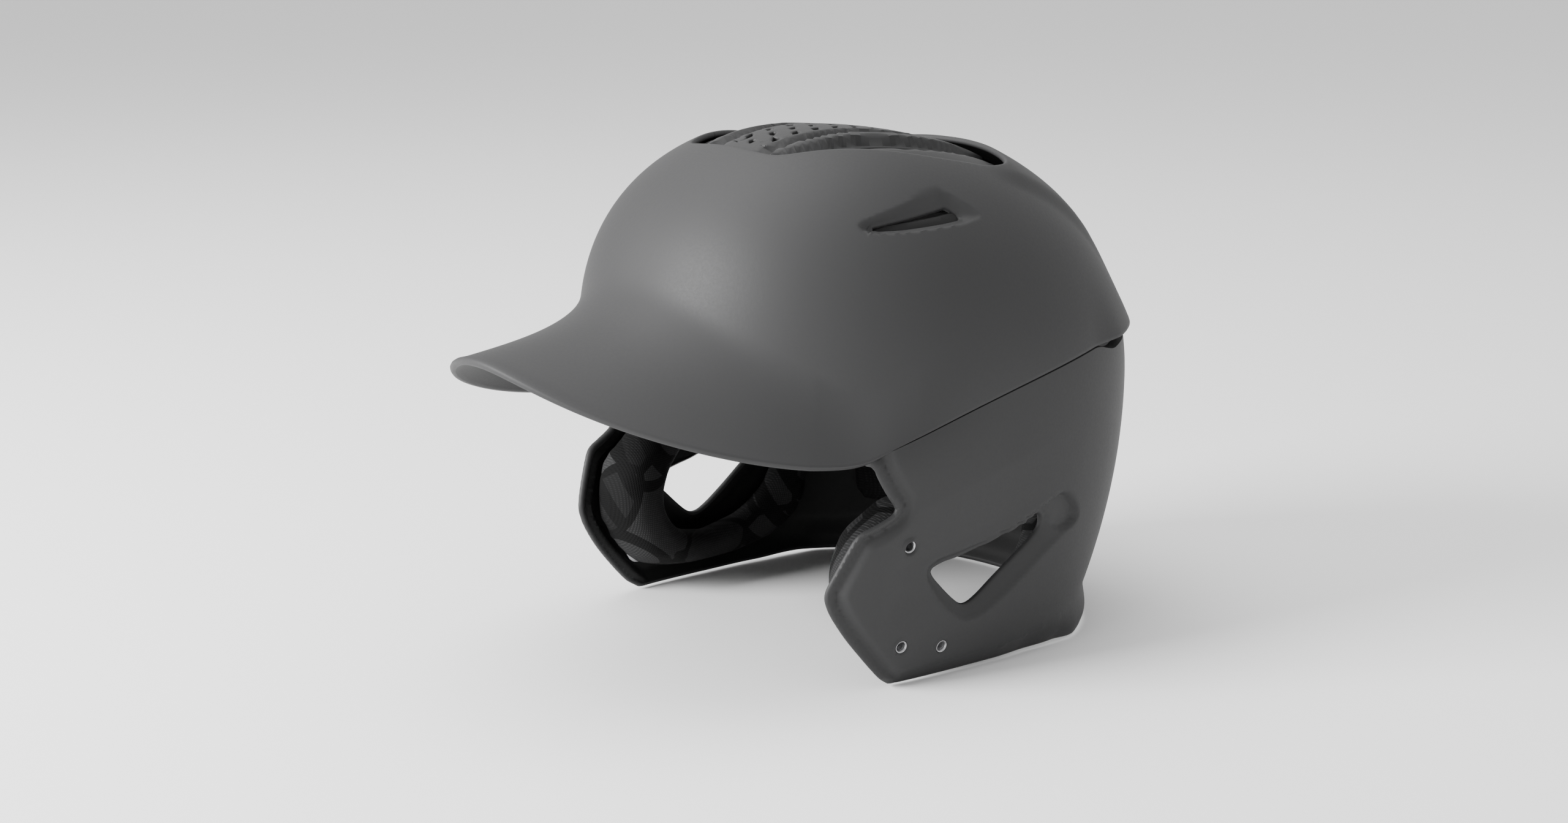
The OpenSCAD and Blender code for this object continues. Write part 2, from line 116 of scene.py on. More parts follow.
def dome(level):
    up = np.clip((level - CROWN_Z) / CROWN_H, 0, 1)
    return (1 - up ** DOME_N) ** (1 / DOME_N)


def surface_r(az, level):
    rear = cosd(az) < 0
    n = square_n(level, rear)
    w = np.abs(sind(az)) / half_w(level)
    l = np.abs(cosd(az)) / half_l(level, rear)
    return dome(level) * (w ** n + l ** n) ** (-1 / n)


def place(az, r, level):
    az, r, level = np.broadcast_arrays(az, r, level)
    return np.stack([r * sind(az), -r * cosd(az), level + TILT * r * cosd(az)], -1)


def side_x(y, z):
    level = z + TILT * y
    rear = y > 0
    n = square_n(level, rear)
    share = np.minimum(np.abs(y) / half_l(level, rear), 1)
    return half_w(level) * (1 - share ** n) ** (1 / n)


def side_normal(y, z):
    n = np.stack([np.ones_like(y), side_x(y - 1, z) / 2 - side_x(y + 1, z) / 2,
                  side_x(y, z - 1) / 2 - side_x(y, z + 1) / 2], -1)
    return n / np.linalg.norm(n, axis=-1, keepdims=True)


def side_pt(y, z, inset):
    y, z, inset = np.broadcast_arrays(np.asarray(y, float), np.asarray(z, float),
                                      np.asarray(inset, float))
    return np.stack([side_x(y, z), y, z], -1) - inset[..., None] * side_normal(y, z)


def slope_and_len(az, level):
    step = 0.05
    slope = (surface_r(az, level + step) - surface_r(az, level - step)) / (2 * step)
    return slope, np.sqrt(1 + slope * slope)


def inset_pt(az, level, inset, flare=0.0):
    slope, length = slope_and_len(az, level)
    return place(az, surface_r(az, level) + flare - inset / length,
                 level + inset * slope / length)


def level_of(psi):
    return CROWN_Z + np.where(psi > 0, CROWN_H, CROWN_Z) * sind(psi)


def angle_of(level):
    span = np.where(level > CROWN_Z, CROWN_H, CROWN_Z)
    return np.degrees(np.arcsin(np.clip((level - CROWN_Z) / span, -1, 1)))


def seam_z(y):
    return SEAM_MID + SEAM_SLOPE * y - SEAM_BOW * y * y


def shoulder_level(az):
    y = -surface_r(az, CROWN_Z) * cosd(az)
    return seam_z(y) + TILT * y


def wrapped(az):
    return np.abs((az + 180) % 360 - 180)


def vent_share(az):
    return ease((wrapped(az) - VENT_START) / VENT_FADE)


REAR_REACH = max(REAR_L, float(surface_r(180.0, shoulder_level(180.0))) + LIP_STEP)
CROWN_Y = (BRIM_REACH - REAR_REACH) / 2


# ---- outlines ----
def rounded(points, passes=2):
    """Cuts the corners of a closed outline, so that it runs round them."""
    p = np.array(points, float)
    for _ in range(passes):
        q = np.roll(p, -1, 0)
        p = np.stack([0.78 * p + 0.22 * q, 0.22 * p + 0.78 * q], 1).reshape(-1, 2)
    return p


def outline_distance(x, y, points):
    """Distance to a closed outline in its own plane: positive outside, negative inside."""
    best = np.full(x.shape, 1e9)
    inside = np.zeros(x.shape, bool)
    for (ax, ay), (bx, by) in zip(points, np.roll(points, -1, 0)):
        ex, ey = bx - ax, by - ay
        t = np.clip(((x - ax) * ex + (y - ay) * ey) / (ex * ex + ey * ey + 1e-12), 0, 1)
        best = np.minimum(best, np.hypot(x - ax - t * ex, y - ay - t * ey))
        if ay != by:
            inside ^= ((ay > y) != (by > y)) & (x < ex * (y - ay) / (by - ay) + ax)
    return np.where(inside, -best, best)


FACE_EDGE = np.array(FACE_EDGE, float)
FACE_ROUND = rounded(FACE_EDGE, 2)
EAR_HOLE = rounded(EAR_HOLE, 2)
EAR_BEVEL = rounded(EAR_BEVEL, 2)
EAR_POCKET = rounded(EAR_POCKET, 2)
SIDE_VENT = rounded(SIDE_VENT, 1)
SIDE_BEVEL = rounded(SIDE_BEVEL, 1)
TOP_VENT = rounded(TOP_VENT + [(-x, y) for x, y in TOP_VENT[-2:0:-1]], 2)


# ---- meshes ----
def make_mesh(name, points, faces, smooth=True):
    """Points in millimetres in the crown's frame become an object in the frame of the CAD."""
    mesh = bpy.data.meshes.new(name)
    place_m = (np.asarray(points, float) + [0, CROWN_Y, 0]) * MM
    mesh.from_pydata(place_m.tolist(), [], [list(map(int, f)) for f in faces])
    mesh.validate()
    mesh.polygons.foreach_set("use_smooth", [smooth] * len(mesh.polygons))
    obj = bpy.data.objects.new(name, mesh)
    bpy.context.scene.collection.objects.link(obj)
    return obj


def grid_faces(nu, nv):
    """Quads of a grid that closes on itself across its columns."""
    i, j = np.meshgrid(np.arange(nu), np.arange(nv - 1), indexing="ij")
    i2 = (i + 1) % nu
    return np.stack([i * nv + j, i * nv + j + 1, i2 * nv + j + 1, i2 * nv + j],
                    -1).reshape(-1, 4)


def clip_faces(faces, keep, arrays):
    """Keeps the part of a surface where keep > 0, cutting the faces that cross the line.

    arrays are per-point values; the points added on the line get theirs by interpolation.
    """
    inside = keep > 0
    count = inside[faces].sum(1)
    whole = [tuple(f) for f in faces[count == 4]]
    extra, cut_at, start = [], {}, len(keep)

    def crossing(a, b):
        key = (a, b) if a < b else (b, a)
        if key not in cut_at:
            t = keep[key[0]] / (keep[key[0]] - keep[key[1]])
            cut_at[key] = start + len(extra)
            extra.append((key[0], key[1], min(max(t, 0.02), 0.98)))
        return cut_at[key]

    for f in faces[(count > 0) & (count < 4)]:
        out = []
        for a, b in zip(f, np.roll(f, -1)):
            if inside[a]:
                out.append(int(a))
            if inside[a] != inside[b]:
                out.append(crossing(int(a), int(b)))
        if len(out) >= 3:
            whole.append(tuple(out))
    if extra:
        a, b, t = (np.array(v) for v in zip(*extra))
        arrays = [np.concatenate([v, v[a] + (v[b] - v[a]) * (t[:, None] if v.ndim > 1 else t)])
                  for v in arrays]
    used = np.unique(np.concatenate([np.array(f) for f in whole]))
    renumber = np.full(start + len(extra), -1)
    renumber[used] = np.arange(len(used))
    return [tuple(renumber[list(f)]) for f in whole], [v[used] for v in arrays]


def border_edges(faces):
    """Directed edges that only one face has."""
    seen = {}
    for f in faces:
        for a, b in zip(f, f[1:] + f[:1]):
            seen[(a, b)] = True
    return [(a, b) for (a, b) in seen if (b, a) not in seen]


def thick_shell(name, faces, outer, inner, squareness, steps=6):
    """Closes an outer and an inner skin with a rim all along their border.

    squareness is a value for each point: 1 makes the rim half round, and 0 square.
    """
    n = len(outer)
    edges = border_edges(faces)
    middle = (outer + inner) / 2
    half = (outer - inner) / 2
    size = np.linalg.norm(half, axis=1, keepdims=True) + 1e-9
    up = half / size
    away = np.zeros_like(outer)
    for a, b in edges:
        along = middle[b] - middle[a]
        for v in (a, b):
            away[v] += np.cross(along, up[v])
    following = {a: b for a, b in edges}
    before = {b: a for a, b in edges}
    rim = sorted(following)
    length = np.linalg.norm(away, axis=1, keepdims=True) + 1e-9
    away = away / length
    ahead = np.array([following[v] for v in rim])
    behind = np.array([before.get(v, v) for v in rim])
    for _ in range(6):
        calm = away[rim] * 2 + away[ahead] + away[behind]
        away[rim] = calm / (np.linalg.norm(calm, axis=1, keepdims=True) + 1e-9)
    slot_of = {v: i for i, v in enumerate(rim)}
    rim = np.array(rim)
    points = [outer, inner]
    for k in range(1, steps):
        angle = math.pi * k / steps
        c, s = math.cos(angle), math.sin(angle)
        c = math.copysign(1, c) * abs(c) ** squareness[rim, None]
        s = s ** squareness[rim, None]
        points.append(middle[rim] + size[rim] * (up[rim] * c + away[rim] * s))
    all_faces = list(faces) + [tuple(v + n for v in reversed(f)) for f in faces]

    def ring(v, k):
        if k == 0:
            return v
        if k == steps:
            return v + n
        return 2 * n + (k - 1) * len(rim) + slot_of[v]
    for a, b in edges:
        if a not in slot_of or b not in slot_of:
            continue
        for k in range(steps):
            all_faces.append((ring(b, k), ring(a, k), ring(a, k + 1), ring(b, k + 1)))
    obj = make_mesh(name, np.concatenate(points), all_faces)
    obj.data.set_sharp_from_angle(angle=math.radians(50))
    # the inner skin is marked for the second material, which paints shade on the shell's inside
    inside = np.zeros(len(obj.data.polygons), dtype=np.int32)
    inside[len(faces):2 * len(faces)] = 1
    obj.data.polygons.foreach_set("material_index", inside)
    return obj


def finish_piece(obj, material, *nodes, slot=None, inside_shade=None):
    layout = [p.material_index for p in obj.data.polygons]
    obj.data.materials.clear()
    obj.data.materials.append(material)
    # the second material, painted shade for the inside, goes on the faces marked 1
    if inside_shade:
        obj.data.materials.append(inside_shade)
        obj.data.polygons.foreach_set("material_index", layout)
    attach(obj, "root")
    if nodes:
        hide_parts(*nodes)
    return obj


# ---- materials ----
def node_tree(name):
    mat = bpy.data.materials.new(name)
    mat.use_nodes = True
    return mat, mat.node_tree.nodes, mat.node_tree.links, mat.node_tree.nodes["Principled BSDF"]


def noise_tex(nodes, links, coords, scale, detail=4.0, rough=0.55):
    tex = nodes.new("ShaderNodeTexNoise")
    tex.inputs["Scale"].default_value = scale
    tex.inputs["Detail"].default_value = detail
    tex.inputs["Roughness"].default_value = rough
    links.new(coords, tex.inputs["Vector"])
    return tex.outputs["Fac"]


def ramp(nodes, links, value, stops):
    node = nodes.new("ShaderNodeValToRGB")
    node.color_ramp.elements[0].position = stops[0][0]
    node.color_ramp.elements[0].color = stops[0][1]
    node.color_ramp.elements[1].position = stops[-1][0]
    node.color_ramp.elements[1].color = stops[-1][1]
    for position, color in stops[1:-1]:
        node.color_ramp.elements.new(position).color = color
    links.new(value, node.inputs["Fac"])
    return node.outputs["Color"]


def grey(v, alpha=1.0):
    return (v, v, v * 1.02, alpha)


def moulded_plastic(name, tone, roughness=0.5):
    mat, nodes, links, bsdf = node_tree(name)
    coords = nodes.new("ShaderNodeTexCoord").outputs["Object"]
    broad = noise_tex(nodes, links, coords, 9.0, 2.0)
    links.new(ramp(nodes, links, broad, [(0.3, grey(tone * 0.95)), (0.7, grey(tone * 1.05))]),
              bsdf.inputs["Base Color"])
    fine = noise_tex(nodes, links, coords, 900.0, 3.0, 0.6)
    rough = nodes.new("ShaderNodeMapRange")
    rough.inputs["To Min"].default_value = roughness - 0.05
    rough.inputs["To Max"].default_value = roughness + 0.07
    links.new(fine, rough.inputs["Value"])
    links.new(rough.outputs["Result"], bsdf.inputs["Roughness"])
    bump = nodes.new("ShaderNodeBump")
    bump.inputs["Strength"].default_value = 0.12
    bump.inputs["Distance"].default_value = 0.0002
    links.new(fine, bump.inputs["Height"])
    links.new(bump.outputs["Normal"], bsdf.inputs["Normal"])
    bsdf.inputs["Specular IOR Level"].default_value = 0.3
    return mat


def woven_height(nodes, links, coords, pitch):
    """Crossed threads: two bands at right angles, multiplied."""
    parts = []
    for direction in ("Y", "Z"):
        wave = nodes.new("ShaderNodeTexWave")
        wave.bands_direction = direction
        wave.inputs["Scale"].default_value = 0.314 / pitch
        wave.inputs["Distortion"].default_value = 0.3
        links.new(coords, wave.inputs["Vector"])
        parts.append(wave.outputs["Fac"])
    both = nodes.new("ShaderNodeMath")
    both.operation = "MULTIPLY"
    links.new(parts[0], both.inputs[0])
    links.new(parts[1], both.inputs[1])
    return both.outputs["Value"]


def math_node(nodes, links, operation, a, b=None):
    node = nodes.new("ShaderNodeMath")
    node.operation = operation
    for socket, value in zip(node.inputs, (a, b)):
        if value is None:
            continue
        if isinstance(value, (int, float)):
            socket.default_value = value
        else:
            links.new(value, socket)
    return node.outputs["Value"]


def printed_mesh_fabric(name, ground, figure):
    """Black mesh cloth with a faint angular print of bars and facets."""
    mat, nodes, links, bsdf = node_tree(name)
    coords = nodes.new("ShaderNodeTexCoord").outputs["Object"]
    facets = nodes.new("ShaderNodeTexVoronoi")
    facets.feature = "DISTANCE_TO_EDGE"
    facets.inputs["Scale"].default_value = 34.0
    links.new(coords, facets.inputs["Vector"])
    cells = nodes.new("ShaderNodeTexVoronoi")
    cells.inputs["Scale"].default_value = 34.0
    links.new(coords, cells.inputs["Vector"])
    split = nodes.new("ShaderNodeSeparateColor")
    links.new(cells.outputs["Color"], split.inputs["Color"])
    bars = nodes.new("ShaderNodeTexWave")
    bars.bands_direction = "DIAGONAL"
    bars.inputs["Scale"].default_value = 26.0
    bars.inputs["Distortion"].default_value = 1.2
    bars.inputs["Detail Scale"].default_value = 0.6
    links.new(coords, bars.inputs["Vector"])
    inner = math_node(nodes, links, "GREATER_THAN", facets.outputs["Distance"], 0.05)
    striped = math_node(nodes, links, "GREATER_THAN", bars.outputs["Fac"], 0.45)
    plain = math_node(nodes, links, "GREATER_THAN", split.outputs["Red"], 0.62)
    shown = math_node(nodes, links, "MULTIPLY", inner,
                      math_node(nodes, links, "MAXIMUM", striped, plain))
    faded = math_node(nodes, links, "MULTIPLY", shown, split.outputs["Green"])
    weave = woven_height(nodes, links, coords, 0.0009)
    color = nodes.new("ShaderNodeMix")
    color.data_type = "RGBA"
    color.inputs["A"].default_value = grey(ground)
    color.inputs["B"].default_value = grey(figure)
    tone = math_node(nodes, links, "MULTIPLY", faded,
                     math_node(nodes, links, "ADD", weave, 0.55))
    links.new(tone, color.inputs["Factor"])
    links.new(color.outputs["Result"], bsdf.inputs["Base Color"])
    bsdf.inputs["Roughness"].default_value = 0.85
    bsdf.inputs["Specular IOR Level"].default_value = 0.12
    bump = nodes.new("ShaderNodeBump")
    bump.inputs["Strength"].default_value = 0.5
    bump.inputs["Distance"].default_value = 0.0003
    links.new(weave, bump.inputs["Height"])
    links.new(bump.outputs["Normal"], bsdf.inputs["Normal"])
    return mat


def knit_fabric(name, tone, pitch=0.0012):
    mat, nodes, links, bsdf = node_tree(name)
    coords = nodes.new("ShaderNodeTexCoord").outputs["Object"]
    weave = woven_height(nodes, links, coords, pitch)
    cloud = noise_tex(nodes, links, coords, 60.0, 3.0)
    mixed = math_node(nodes, links, "MULTIPLY", weave, cloud)
    links.new(ramp(nodes, links, mixed, [(0.0, grey(tone * 0.7)), (0.5, grey(tone * 1.3))]),
              bsdf.inputs["Base Color"])
    bsdf.inputs["Roughness"].default_value = 0.9
    bsdf.inputs["Specular IOR Level"].default_value = 0.12
    bump = nodes.new("ShaderNodeBump")
    bump.inputs["Strength"].default_value = 0.5
    bump.inputs["Distance"].default_value = 0.0003
    links.new(weave, bump.inputs["Height"])
    links.new(bump.outputs["Normal"], bsdf.inputs["Normal"])
    return mat


def turned_steel(name):
    mat, nodes, links, bsdf = node_tree(name)
    coords = nodes.new("ShaderNodeTexCoord").outputs["Object"]
    fine = noise_tex(nodes, links, coords, 1400.0, 2.0)
    links.new(ramp(nodes, links, fine, [(0.3, grey(0.3)), (0.7, grey(0.45))]),
              bsdf.inputs["Base Color"])
    bsdf.inputs["Metallic"].default_value = 1.0
    rough = nodes.new("ShaderNodeMapRange")
    rough.inputs["To Min"].default_value = 0.22
    rough.inputs["To Max"].default_value = 0.38
    links.new(fine, rough.inputs["Value"])
    links.new(rough.outputs["Result"], bsdf.inputs["Roughness"])
    return mat


SHELL_PLASTIC = moulded_plastic("shell_plastic", 0.026, 0.58)
LOWER_PLASTIC = moulded_plastic("lower_plastic", 0.022, 0.56)
# a darker copy of the shell plastic: painted shade for the inside of the shells and for the crown
# under the upper shell
INNER_SHADE_PLASTIC = moulded_plastic("inner_shade_plastic", 0.006, 0.6)
EAR_FABRIC = printed_mesh_fabric("ear_fabric", 0.003, 0.03)
LINER_FABRIC = knit_fabric("liner_fabric", 0.008)
STEEL = turned_steel("turned_steel")
PILE = knit_fabric("hook_and_loop", 0.006, 0.0007)


# ---- upper shell ----
RIM = WALL / 2               # how far a rounded rim stands out past the cut edge
BRIM_COLS = 151
JOIN_REACH, JOIN_PASSES = 15, 70
ROLL_W, ROLL_T = 4.5, 0.3    # width and extra thickness of the brim's rolled edge
VENT_DEPTH = 3.4


def brim_columns(u):
    """Azimuth, edge radius, edge level and side share of columns across the brim."""
    edge_x = float(side_x(np.float64(-BRIM_END), seam_z(-BRIM_END)))
    drop = TIP_Z - seam_z(-BRIM_END)
    h = np.sin(np.pi / 2 * u)
    x = edge_x * h
    y = -BRIM_END - (BRIM_REACH - BRIM_END) * np.maximum(np.cos(np.pi / 2 * u), 0) ** (4 / 3)
    bend = (np.sqrt(h * h + BRIM_ROUND ** 2) - BRIM_ROUND) / (
        math.sqrt(1 + BRIM_ROUND ** 2) - BRIM_ROUND)
    z = TIP_Z - drop * bend
    return np.stack([np.degrees(np.arctan2(x, -y)), np.hypot(x, y), z + TILT * y,
                     ease(np.abs(u))], -1)


def seam_columns(az):
    level = shoulder_level(az)
    return np.stack([az, surface_r(az, level) + LIP_STEP * vent_share(az), level,
                     np.ones_like(az)], -1)


def upper_line(col, v):
    az, side = col[..., 0], col[..., 3]
    edge = col[..., 1:3]
    bend_level = mix(BROW_LEVEL, edge[..., 1] + 15, side)
    start_level = bend_level + mix(22, 15, side)
    start = np.stack([surface_r(az, start_level), start_level], -1)
    slope = surface_r(az, start_level + 0.5) - surface_r(az, start_level - 0.5)
    bend = np.stack([start[..., 0] + slope * (bend_level - start_level), bend_level], -1)
    q = mix(2.6, 2.0, side)[..., None]
    w = np.clip(v - 1, 0, 1)[..., None]
    psi = mix(89.6, angle_of(start_level), np.clip(v, 0, 1))
    top = np.stack([surface_r(az, level_of(psi)), level_of(psi)], -1)
    low = start + (bend - start) * (1 - (1 - w) ** q) + (edge - bend) * w ** q
    return np.where((v <= 1)[..., None], top, low)


def upper_pt(col, v, inset):
    step = 0.01
    p = upper_line(col, v)
    along = upper_line(col, np.minimum(v + step, 2)) - upper_line(col, np.maximum(v - step, 0))
    out = np.stack([-along[..., 1], along[..., 0]], -1)
    out /= np.linalg.norm(out, axis=-1, keepdims=True) + 1e-9
    q = p - inset[..., None] * out
    return place(col[..., 0], q[..., 0], q[..., 1])


def hood_height(p):
    """The raised hood behind the crown's opening."""
    x, y = np.abs(p[..., 0]), p[..., 1]
    side = ease((64 - x) / 9)
    run = ease((y - 20) / 22) * ease((104 - y) / 40)
    return 2.6 * side * run


def side_vent_sink(p):
    d = -outline_distance(p[..., 1], p[..., 2], SIDE_BEVEL)
    hole = np.maximum(outline_distance(p[..., 1], p[..., 2], SIDE_VENT), 0)
    share = np.clip(d / (np.abs(d) + hole + 1e-6), 0, 1)
    return VENT_DEPTH * share ** 0.75 * (np.abs(p[..., 0]) > 30)


def build_upper_shell():
    end = brim_columns(np.array(1.0))[0]
    az = np.concatenate([np.linspace(end, 92, 56)[1:-1], np.linspace(92, 268, 88),
                         np.linspace(268, 360 - end, 56)[1:-1]])
    cols = np.concatenate([brim_columns(np.linspace(-1, 1, BRIM_COLS)), seam_columns(az)])
    rows = np.concatenate([np.linspace(0.12, 0.54, 26)[:-1], np.linspace(0.54, 0.8, 38)[:-1],
                           np.linspace(0.8, 1, 10)[:-1], 1 + np.linspace(0, 1, 52) ** 0.9])
    col, v = cols[:, None, :], rows[None, :]
    col, v = np.broadcast_arrays(col, v[..., None])[0], np.broadcast_to(v, (len(cols), len(rows)))
    last = upper_line(cols, np.full(len(cols), 2.0))
    near = upper_line(cols, np.full(len(cols), 1.98))
    per_mm = 0.02 / (np.linalg.norm(last - near, axis=-1) + 1e-9)
    v = np.where(v > 1, 1 + (v - 1) * (1 - per_mm * (RIM + 0.3))[:, None], v)
    outer = upper_pt(col, v, np.zeros(v.shape))
    # the brim's edge is rolled: thicker towards the rim
    front = 1 - col[..., 3] ** 3
    gap = (2 - v) / per_mm[:, None]
    bead = front * np.clip(1 - (gap - RIM) / ROLL_W, 0, 1) ** 2 * (v > 1)
    lift = upper_pt(col, v, -np.ones(v.shape)) - outer
    sink = side_vent_sink(outer) - hood_height(outer)
    # the side of the brim runs on into the seam without a ridge
    spread = np.array([-JOIN_REACH, JOIN_REACH])
    join = (BRIM_COLS - 1 + spread, len(cols) + spread)
    soft = (0.5 * ease((rows - 1) * 4))[None, :, None]
    for low, high in join:
        near = np.arange(low, high) % len(cols)
        for _ in range(JOIN_PASSES):
            calm = (outer[near - 1] + outer[(near + 1) % len(cols)]) / 2
            outer[near] += soft * (calm - outer[near])
    skin = outer + lift * (ROLL_T * bead - sink)[..., None]
    back = outer - lift * (WALL + ROLL_T * bead + sink)[..., None]
    top_gap = outline_distance(outer[..., 0], outer[..., 1], TOP_VENT) - RIM
    top_gap = np.where(outer[..., 2] > 150, top_gap, 60)
    vent_gap = outline_distance(outer[..., 1], outer[..., 2], SIDE_VENT) - RIM + 0.1
    vent_gap = np.where(np.abs(outer[..., 0]) > 40, vent_gap, 60)
    keep = np.minimum(top_gap, vent_gap)
    faces = grid_faces(len(cols), len(rows))
    flat = [skin.reshape(-1, 3), back.reshape(-1, 3)]
    square = np.where(outer[..., 2] > 150, 0.8, mix(0.85, 0.25, ease(col[..., 3] * 2 - 0.8)))
    faces, (skin, back, square) = clip_faces(faces, keep.reshape(-1), flat + [square.reshape(-1)])
    return thick_shell("upper_shell_skin", faces, skin, back, square)


# ---- lower shell ----
UNDER = 8.0                  # how far the flaps run on below the floor before they are cut
INSERT_CUT = 4.0             # radius cut for an insert, which the rim narrows to its barrel


def nape_lip(az, z):
    return NAPE_FLARE * ease((17 - z) / 13) * ease((wrapped(az) - 100) / 18)


def lower_pt(az, v, inset, drop):
    top = shoulder_level(az) - REAR_VENT * vent_share(az) - SEAM_GAP - drop
    low = -UNDER - TILT * surface_r(az, 0.0) * cosd(az)
    level = np.where(v <= 1, mix(low, top, v),
                     level_of(mix(angle_of(top + 0.8), 89.6, np.clip(v - 1, 0, 1))))
    sink = np.where(v <= 1, 0, mix(LAP, CROWN_GAP, ease((level - top) / 14)))
    z = level + TILT * surface_r(az, level) * cosd(az)
    return inset_pt(az, level, inset + sink, np.where(v <= 1, nape_lip(az, z), 0.0))


def crown_relief(p):
    """Rails and grooves of the inner crown, seen through the opening."""
    x, y = np.abs(p[..., 0]), p[..., 1]
    spread = 0.72 + 0.28 * np.cos(np.clip(y / 75, -1, 1) * math.pi / 2)
    x = x / spread
    spine = ease((15.5 - x) / 2)
    rail = ease((x - 20) / 2) * ease((28.5 - x) / 2)
    shoulder = ease((x - 36) / 3)
    shown = ease((p[..., 2] - 165) / 12)
    return shown * (3.0 * spine + 3.8 * rail + 3.0 * shoulder)


def spine_holes(p):
    """Distance outside the small slanted air holes, staggered along the spine."""
    x, y = p[..., 0], p[..., 1]
    best = np.full(x.shape, 60.0)
    for column in (-1, 0, 1):
        cx = column * 8.0
        cy = np.round((y - 5.0 * (column % 2)) / 10) * 10 + 5.0 * (column % 2)
        cy = np.clip(cy, -50, 45)
        dx, dy = x - cx, y - cy
        dy = dy + 0.45 * dx
        best = np.minimum(best, np.maximum(np.abs(dx) - 3.1, np.abs(dy) - 2.9))
    return np.where(p[..., 2] > 165, best, 60)


def groove_slots(p):
    """Distance outside the long air slots beside the rails."""
    x, y = np.abs(p[..., 0]), p[..., 1]
    spread = 0.72 + 0.28 * np.cos(np.clip(y / 75, -1, 1) * math.pi / 2)
    best = np.full(x.shape, 60.0)
    for middle, reach in ((17.9, 40), (32.3, 34)):
        d = np.hypot((x / spread - middle), np.maximum(np.abs(y + 4) - reach, 0)) - 2.5
        best = np.minimum(best, d)
    return np.where(p[..., 2] > 160, best, 60)


def flap_relief(p):
    """Depth that the flap's bevels, creases and pockets lie below the smooth surface."""
    y, z = p[..., 1], p[..., 2]
    side = (np.abs(p[..., 0]) > 40) & (z < 120)
    edge = outline_distance(y, z, FACE_ROUND)
    front = 2.9 * np.clip((8.2 - edge) / 4.6, 0, 1) * (z < 104)
    front = front - 1.7 * np.clip(1 - (edge - 1.6) / 1.9, 0, 1) ** 0.5 * (z < 100)
    # the bottom band leans in under a crease that follows the edge
    band = 6.5 + 0.13 * np.clip(y - 5, 0, 60)
    under = 3.0 * np.clip(1 - z / band, 0, 1) + 0.35 * (z < band) * (y > -60)
    under = under * ease((52 - y) / 14)
    hole = outline_distance(y, z, EAR_HOLE)
    bevel = -outline_distance(y, z, EAR_BEVEL)
    share = np.clip(bevel / (np.abs(bevel) + np.maximum(hole, 0) + 1e-6), 0, 1)
    rim = (0.5 + 3.0 * share) * ease(bevel / 0.9)
    pocket = 2.6 * ease(-outline_distance(y, z, EAR_POCKET) / 1.6)
    ear = np.maximum(rim, pocket)
    # a crease from the notch towards the rear, below which the flap leans in
    line = 72.5 + (y + 48) * 0.245
    below = np.clip((line - z) / 22, 0, 1)
    fade = ease((44 - y) / 50) * ease((y + 62) / 12)
    crease = 1.5 * below * fade * ease((z - 20) / 20)
    return np.where(side, np.maximum(np.maximum(front, under), ear) + crease, 0)


def build_lower_shell():
    az = np.concatenate([np.linspace(-180, -128, 30)[:-1], np.linspace(-128, -38, 126)[:-1],
                         np.linspace(-38, 38, 30)[:-1], np.linspace(38, 128, 126)[:-1],
                         np.linspace(128, 180, 30)[:-1]])
    rows = np.concatenate([np.linspace(0.05, 0.985, 96), [1.0],
                           1.0001 + 0.9999 * np.linspace(0, 0.45, 10)[:-1],
                           1.0001 + 0.9999 * np.linspace(0.45, 0.999, 46)])
    a, v = np.meshgrid(az, rows, indexing="ij")
    outer = lower_pt(a, v, 0.0, 0.0)
    inner = lower_pt(a, v, WALL, WALL)
    lift = np.where((v <= 1)[..., None], (lower_pt(a, v, -1.0, 0.0) - outer), 0)
    top_lift = lower_pt(a, np.maximum(v, 1.0001), -1.0, 0.0) - lower_pt(
        a, np.maximum(v, 1.0001), 0.0, 0.0)
    lift = np.where((v <= 1)[..., None], lift, top_lift)
    change = np.where(v > 1, crown_relief(outer), -flap_relief(outer))[..., None]
    skin = outer + lift * change
    back = inner + lift * change
    y, z = outer[..., 1], outer[..., 2]
    face_gap = outline_distance(y, z, FACE_ROUND) - RIM
    floor_gap = z - RIM
    ear_gap = np.where(z < 110, outline_distance(y, z, EAR_HOLE) - RIM + 0.3, 60)
    vent_gap = outline_distance(y, z, SIDE_VENT) - RIM - 0.6
    vent_gap = np.where(np.abs(outer[..., 0]) > 40, vent_gap, 60)
    keep = np.minimum.reduce([face_gap, floor_gap, ear_gap, vent_gap, spine_holes(outer),
                              groove_slots(outer)])
    for hy, hz in GUARD_HOLES:
        keep = np.minimum(keep, np.hypot(y - hy, z - hz) - INSERT_CUT)
    # the rows run upwards here, so the faces are turned round to look outwards
    faces = grid_faces(len(az), len(rows))[:, ::-1]
    at_insert = np.full(v.shape, 60.0)
    for hy, hz in GUARD_HOLES:
        at_insert = np.minimum(at_insert, np.hypot(y - hy, z - hz))
    square = np.where(at_insert < 7, 0.15, np.where(z > 150, 0.5, 0.75))
    faces, (skin, back, square) = clip_faces(
        faces, keep.reshape(-1), [skin.reshape(-1, 3), back.reshape(-1, 3), square.reshape(-1)])
    shell = thick_shell("lower_shell_skin", faces, skin, back, square)
    at = np.empty(3 * len(shell.data.polygons))
    shell.data.polygons.foreach_get("center", at)
    x, y, z = (at.reshape(-1, 3) / MM - [0, CROWN_Y, 0]).T
    look = np.array([face.material_index for face in shell.data.polygons], dtype=np.int32)
    # painted shade: the part of the inner crown that the upper shell covers takes the dark inner
    # material, so the vents look into shadow
    look[(z > 150) & (outline_distance(x, y, TOP_VENT) > 2)] = 1
    # near the face edge the inside keeps the outer plastic, so the painted shade of the inside
    # begins a little way in
    look[(z < 104) & (outline_distance(y, z, FACE_ROUND) < 3.4)] = 0
    shell.data.polygons.foreach_set("material_index", look)
    return shell


